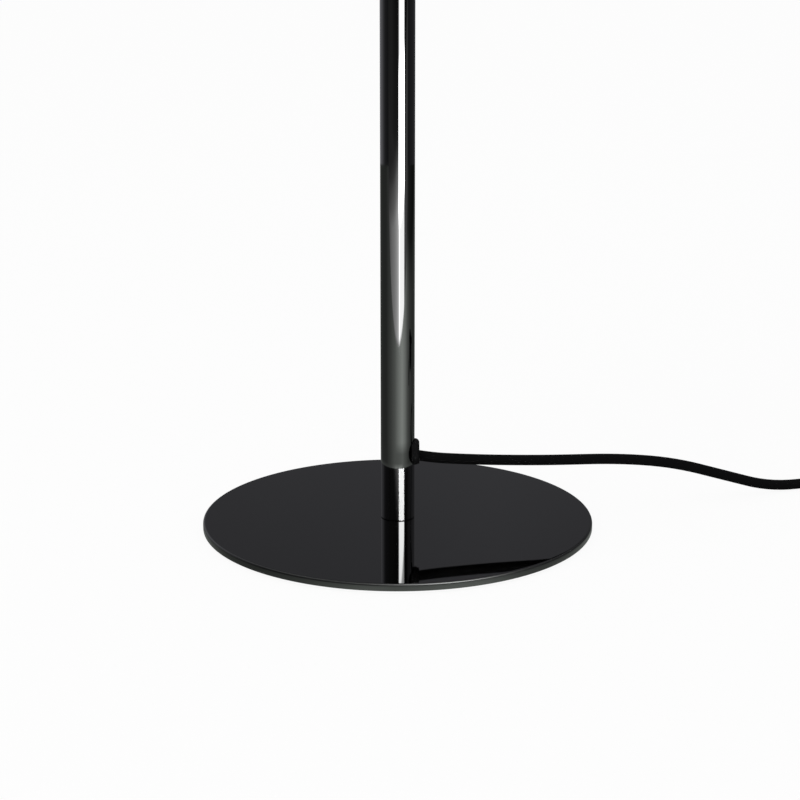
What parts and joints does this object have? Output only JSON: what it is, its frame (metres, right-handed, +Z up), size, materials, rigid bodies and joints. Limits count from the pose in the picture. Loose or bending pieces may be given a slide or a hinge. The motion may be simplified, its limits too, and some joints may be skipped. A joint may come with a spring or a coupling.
{
  "type": "bedside lamp",
  "caption": "Bedside lamp with a thin round mirror-black base, a straight tube stem, a tapered fabric shade over an upright bulb, and a mains cord with a rocker switch and a plug.",
  "frame": {"origin": "on the floor under the middle of the round base", "axes": "+Z up along the stem, +X the side where the cord leaves the stem, -Y towards the viewer of the picture"},
  "size_m": [0.5634, 0.2512, 0.4861],
  "materials": {
    "black_chrome": "polished black chrome plating on steel",
    "black_pad": "matt rubber",
    "black_plastic": "satin moulded plastic",
    "black_cord": "matt round sheath",
    "brown_insulation": "smooth insulation",
    "blue_insulation": "smooth insulation",
    "white_ceramic": "glazed insulator",
    "brass": "stamped brass",
    "nickel": "nickel plated brass",
    "zinc_steel": "zinc plated steel",
    "nylon": "natural nylon",
    "white_plastic": "satin white",
    "opal_plastic": "opal diffuser",
    "linen": "plain woven linen",
    "linen_tape": "folded tape",
    "white_lining": "matt white film",
    "white_wire": "white enamel on steel wire"
  },
  "bodies": {
    "lamp": {"base_plate": "black_chrome", "stem_tube": "black_chrome", "top_insert": "black_chrome", "base_pad": "black_pad", "cord_bushing": "black_plastic", "stem_cord": "black_cord", "lamp_cord": "black_cord", "coil_lead": "black_cord", "cord_coil": "black_cord", "plug_tail": "black_cord", "switch_leads": "black_cord", "live_core": "brown_insulation", "neutral_core": "blue_insulation", "holder_cap": "black_plastic", "holder_skirt": "black_plastic", "lower_grip_ring": "black_plastic", "upper_grip_ring": "black_plastic", "holder_insulator": "white_ceramic", "holder_terminals": "brass", "centre_contact": "brass", "thread_shell": "nickel", "bulb_tip": "nickel", "bulb_insulator": "black_plastic", "bulb_cap": "nickel", "bulb_housing": "white_plastic", "bulb_globe": "opal_plastic", "shade_cloth": "linen", "shade_lining": "white_lining", "shade_lower_trim": "linen_tape", "shade_upper_trim": "linen_tape", "shade_lower_ring": "white_wire", "shade_upper_ring": "white_wire", "shade_hub": "white_wire", "shade_arms": "white_wire", "switch_lower_shell": "black_plastic", "switch_upper_shell": "black_plastic", "fulcrum_contact": "brass", "fixed_contact": "brass", "switch_terminal_screws": "zinc_steel", "coil_tie": "black_plastic", "plug_body": "black_plastic", "plug_pins": "nickel", "foot_screw": "zinc_steel", "foot_pin": "zinc_steel", "foot_insert": "zinc_steel", "threaded_nipple": "zinc_steel", "holder_grub_screw": "zinc_steel", "switch_screws": "zinc_steel"},
    "rocker": {"switch_rocker": "black_plastic", "rocker_plunger": "nylon", "plunger_spring": "zinc_steel"},
    "seesaw": {"seesaw_contact": "brass"}
  },
  "joints": [
    {"name": "rocker_pivot", "type": "hinge", "parent": "lamp", "child": "rocker", "pos_m": [0.347, 0.082, 0.01396], "axis": [0, 1, 0], "range_deg": [0, 16]},
    {"name": "seesaw_pivot", "type": "hinge", "parent": "lamp", "child": "seesaw", "pos_m": [0.347, 0.082, 0.005], "axis": [0, 1, 0], "range_deg": [-20, 0]}
  ],
  "couplings": [
    {"joint": "seesaw_pivot", "follows": "rocker_pivot", "ratio": -1.25}
  ]
}
